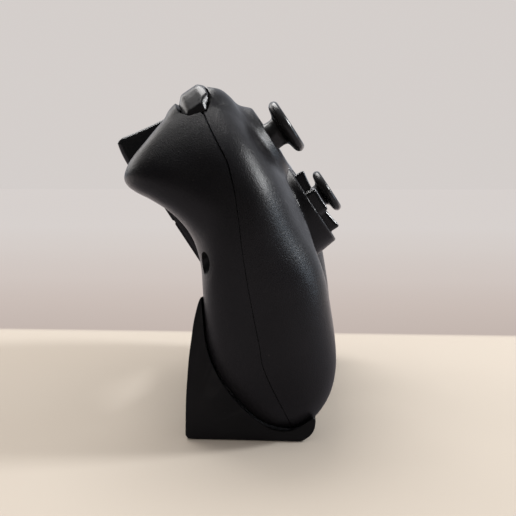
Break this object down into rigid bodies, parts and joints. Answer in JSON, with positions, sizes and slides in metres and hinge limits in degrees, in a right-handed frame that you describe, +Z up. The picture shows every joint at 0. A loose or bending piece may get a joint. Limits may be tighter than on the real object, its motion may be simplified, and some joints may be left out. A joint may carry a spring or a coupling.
{
  "type": "wireless gamepad on stand",
  "caption": "Two-handed gamepad with offset thumbsticks, cross pad, face keys, bumpers and triggers, leaning in a one-piece wedge stand.",
  "frame": {"origin": "centre of the outline in plan, on the surface the stand rests on", "axes": "+X the gamepad's right side, -Y the face side, +Z up; the face leans back 33.4 degrees from upright"},
  "size_m": [0.154, 0.0734, 0.1087],
  "materials": {
    "shell": "fine matte moulded texture, near black",
    "stand": "matte moulded plastic, near black",
    "gloss": "polished black",
    "cap": "smooth black rubber over plastic",
    "steel": "bright steel",
    "brass": "plated spring strip",
    "rubber": "black rubber",
    "silicone": "grey silicone",
    "board": "green solder mask",
    "pom": "natural acetal",
    "cell": "sleeved dry cell",
    "can": "drawn steel can",
    "weight": "sintered weight"
  },
  "bodies": {
    "stand": {"stand_cradle": "stand", "stand_foot_1": "rubber", "stand_foot_2": "rubber", "stand_foot_3": "rubber", "stand_foot_4": "rubber"},
    "gamepad": {"front_shell": "shell", "rear_shell": "shell", "top_bridge": "gloss", "charge_port": "steel", "expansion_port": "rubber", "main_board": "board", "left_trigger_pin": "steel", "right_trigger_pin": "steel", "face_key_pad": "silicone", "menu_key_pad": "silicone", "dpad_pad": "silicone", "rumble_motor_left": "can", "rumble_motor_right": "can", "cell_upper": "cell", "cell_lower": "cell", "battery_contact_left": "brass", "battery_contact_right": "brass", "grip_screw_1": "steel", "grip_screw_2": "steel", "grip_screw_3": "steel", "grip_screw_4": "steel", "left_stick_housing": "can", "left_stick_sensor_x": "rubber", "left_stick_sensor_y": "rubber", "right_stick_housing": "can", "right_stick_sensor_x": "rubber", "right_stick_sensor_y": "rubber"},
    "left_trigger": {"left_trigger": "gloss"},
    "left_bumper": {"left_bumper": "gloss"},
    "right_trigger": {"right_trigger": "gloss"},
    "right_bumper": {"right_bumper": "gloss"},
    "left_stick_yoke_lower": {"left_stick_yoke_lower": "pom"},
    "left_stick_yoke_upper": {"left_stick_yoke_upper": "pom"},
    "left_stick_shaft": {"left_stick_shaft": "pom"},
    "left_stick_cap": {"left_stick_cap": "cap"},
    "right_stick_yoke_lower": {"right_stick_yoke_lower": "pom"},
    "right_stick_yoke_upper": {"right_stick_yoke_upper": "pom"},
    "right_stick_shaft": {"right_stick_shaft": "pom"},
    "right_stick_cap": {"right_stick_cap": "cap"},
    "key_south": {"key_south": "gloss"},
    "key_east": {"key_east": "gloss"},
    "key_west": {"key_west": "gloss"},
    "key_north": {"key_north": "gloss"},
    "back_button": {"back_button": "gloss"},
    "start_button": {"start_button": "gloss"},
    "guide_button": {"guide_button": "gloss"},
    "sync_button": {"sync_button": "gloss"},
    "dpad_rocker": {"dpad_rocker": "pom"},
    "dpad_cross": {"dpad_cross": "gloss"},
    "battery_cover": {"battery_cover": "shell"},
    "rumble_weight_left": {"rumble_weight_left": "weight"},
    "rumble_weight_right": {"rumble_weight_right": "weight"}
  },
  "joints": [
    {"name": "gamepad_lift", "type": "slide", "parent": "stand", "child": "gamepad", "axis": [0, 0, 1], "range_m": [0, 0.12]},
    {"name": "left_trigger_pull", "type": "hinge", "parent": "gamepad", "child": "left_trigger", "pos_m": [-0.0378, 0.01012, 0.09975], "axis": [-1, 0, 0], "range_deg": [0, 18], "stiffness_Nm_per_rad": 0.06, "springref_deg": -6.88},
    {"name": "left_bumper_press", "type": "hinge", "parent": "gamepad", "child": "left_bumper", "pos_m": [-0.0209, 0.0117, 0.10434], "axis": [0, -0.8348, 0.5505], "range_deg": [0, 0.8], "stiffness_Nm_per_rad": 1.2, "springref_deg": -1.15},
    {"name": "right_trigger_pull", "type": "hinge", "parent": "gamepad", "child": "right_trigger", "pos_m": [0.0378, 0.01012, 0.09975], "axis": [-1, 0, 0], "range_deg": [0, 18], "stiffness_Nm_per_rad": 0.06, "springref_deg": -6.88},
    {"name": "right_bumper_press", "type": "hinge", "parent": "gamepad", "child": "right_bumper", "pos_m": [0.0209, 0.0117, 0.10434], "axis": [0, 0.8348, -0.5505], "range_deg": [0, 0.8], "stiffness_Nm_per_rad": 1.2, "springref_deg": -1.15},
    {"name": "left_stick_forward", "type": "hinge", "parent": "gamepad", "child": "left_stick_yoke_lower", "pos_m": [-0.041, -0.00347, 0.08823], "axis": [1, 0, 0], "range_deg": [-13, 13], "stiffness_Nm_per_rad": 0.03},
    {"name": "left_stick_sideways", "type": "hinge", "parent": "left_stick_yoke_lower", "child": "left_stick_shaft", "pos_m": [-0.041, -0.00347, 0.08823], "axis": [0, 0.5505, 0.8348], "range_deg": [-13, 13], "stiffness_Nm_per_rad": 0.03},
    {"name": "left_stick_upper_yoke", "type": "hinge", "parent": "gamepad", "child": "left_stick_yoke_upper", "pos_m": [-0.041, -0.00347, 0.08823], "axis": [0, 0.5505, 0.8348], "range_deg": [-13, 13]},
    {"name": "left_stick_click", "type": "slide", "parent": "left_stick_shaft", "child": "left_stick_cap", "axis": [0, 0.8348, -0.5505], "range_m": [0, 0.0005], "stiffness_N_per_m": 2000, "springref_m": -0.0004},
    {"name": "right_stick_forward", "type": "hinge", "parent": "gamepad", "child": "right_stick_yoke_lower", "pos_m": [0.022, -0.01757, 0.06686], "axis": [1, 0, 0], "range_deg": [-13, 13], "stiffness_Nm_per_rad": 0.03},
    {"name": "right_stick_sideways", "type": "hinge", "parent": "right_stick_yoke_lower", "child": "right_stick_shaft", "pos_m": [0.022, -0.01757, 0.06686], "axis": [0, 0.5505, 0.8348], "range_deg": [-13, 13], "stiffness_Nm_per_rad": 0.03},
    {"name": "right_stick_upper_yoke", "type": "hinge", "parent": "gamepad", "child": "right_stick_yoke_upper", "pos_m": [0.022, -0.01757, 0.06686], "axis": [0, 0.5505, 0.8348], "range_deg": [-13, 13]},
    {"name": "right_stick_click", "type": "slide", "parent": "right_stick_shaft", "child": "right_stick_cap", "axis": [0, 0.8348, -0.5505], "range_m": [0, 0.0005], "stiffness_N_per_m": 2000, "springref_m": -0.0004},
    {"name": "key_south_press", "type": "slide", "parent": "gamepad", "child": "key_south", "axis": [0, 0.8348, -0.5505], "range_m": [0, 0.0015], "stiffness_N_per_m": 350, "springref_m": -0.0005},
    {"name": "key_east_press", "type": "slide", "parent": "gamepad", "child": "key_east", "axis": [0, 0.8348, -0.5505], "range_m": [0, 0.0015], "stiffness_N_per_m": 350, "springref_m": -0.0005},
    {"name": "key_west_press", "type": "slide", "parent": "gamepad", "child": "key_west", "axis": [0, 0.8348, -0.5505], "range_m": [0, 0.0015], "stiffness_N_per_m": 350, "springref_m": -0.0005},
    {"name": "key_north_press", "type": "slide", "parent": "gamepad", "child": "key_north", "axis": [0, 0.8348, -0.5505], "range_m": [0, 0.0015], "stiffness_N_per_m": 350, "springref_m": -0.0005},
    {"name": "back_button_press", "type": "slide", "parent": "gamepad", "child": "back_button", "axis": [0, 0.8348, -0.5505], "range_m": [0, 0.0012], "stiffness_N_per_m": 350, "springref_m": -0.0005},
    {"name": "start_button_press", "type": "slide", "parent": "gamepad", "child": "start_button", "axis": [0, 0.8348, -0.5505], "range_m": [0, 0.0012], "stiffness_N_per_m": 350, "springref_m": -0.0005},
    {"name": "guide_button_press", "type": "slide", "parent": "gamepad", "child": "guide_button", "axis": [0, 0.8348, -0.5505], "range_m": [0, 0.0012], "stiffness_N_per_m": 350, "springref_m": -0.0005},
    {"name": "sync_button_press", "type": "slide", "parent": "gamepad", "child": "sync_button", "axis": [0, -0.5505, -0.8348], "range_m": [0, 0.0006], "stiffness_N_per_m": 500, "springref_m": -0.0004},
    {"name": "dpad_up_down", "type": "hinge", "parent": "gamepad", "child": "dpad_rocker", "pos_m": [-0.022, -0.01907, 0.06785], "axis": [1, 0, 0], "range_deg": [-2.5, 2.5], "stiffness_Nm_per_rad": 0.1},
    {"name": "dpad_left_right", "type": "hinge", "parent": "dpad_rocker", "child": "dpad_cross", "pos_m": [-0.022, -0.01907, 0.06785], "axis": [0, 0.5505, 0.8348], "range_deg": [-2.5, 2.5], "stiffness_Nm_per_rad": 0.1},
    {"name": "battery_cover_off", "type": "slide", "parent": "gamepad", "child": "battery_cover", "axis": [0, 0.8348, -0.5505], "range_m": [0, 0.015]},
    {"name": "rumble_spin_left", "type": "hinge", "parent": "gamepad", "child": "rumble_weight_left", "pos_m": [-0.056, -0.01106, 0.03585], "axis": [1, 0, 0], "continuous": true},
    {"name": "rumble_spin_right", "type": "hinge", "parent": "gamepad", "child": "rumble_weight_right", "pos_m": [0.056, -0.01106, 0.03585], "axis": [1, 0, 0], "continuous": true}
  ],
  "couplings": [
    {"joint": "left_stick_upper_yoke", "follows": "left_stick_sideways", "ratio": 1},
    {"joint": "right_stick_upper_yoke", "follows": "right_stick_sideways", "ratio": 1}
  ]
}
